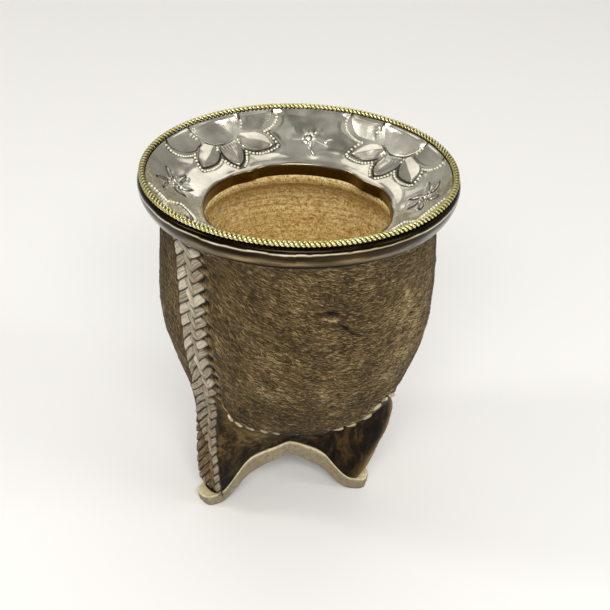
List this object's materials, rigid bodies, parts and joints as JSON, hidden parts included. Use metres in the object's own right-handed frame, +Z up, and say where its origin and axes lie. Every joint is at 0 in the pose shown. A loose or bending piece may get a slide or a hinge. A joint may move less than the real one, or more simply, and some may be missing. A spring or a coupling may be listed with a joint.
{
  "type": "mate cup",
  "caption": "Gourd drinking cup in a sewn hide cover on a vaulted footed hide base, with a wide chiselled metal collar, a twisted wire rim and a plaited lace.",
  "frame": {"origin": "on the ground, below the axis of the collar", "axes": "+Z up along the axis of the collar and the cup; the front of the cup faces -Y, with the plaited lace at the left of the front; +X is to the right of the front"},
  "size_m": [0.098, 0.098, 0.113],
  "materials": {
    "gourd": "dry fibrous gourd shell, matt",
    "hide": "short-haired raw hide, grey-brown, low sheen",
    "dark_hide": "dark brown hide, low sheen",
    "sole_leather": "thick cut sole leather, matt, pale arris",
    "pale_rawhide": "flat rawhide strands, satin",
    "thread": "waxed rawhide thread, matt",
    "silver": "polished white metal, chiselled, slightly tarnished",
    "brass": "twisted brass wire, polished with dark grooves"
  },
  "bodies": {
    "root": {"gourd": "gourd", "hide_cover": "hide", "base_hide": "dark_hide", "sole": "sole_leather", "braided_seam": "pale_rawhide", "base_stitches": "thread", "collar": "silver", "collar_band": "silver", "rope_wire": "brass"}
  },
  "joints": []
}
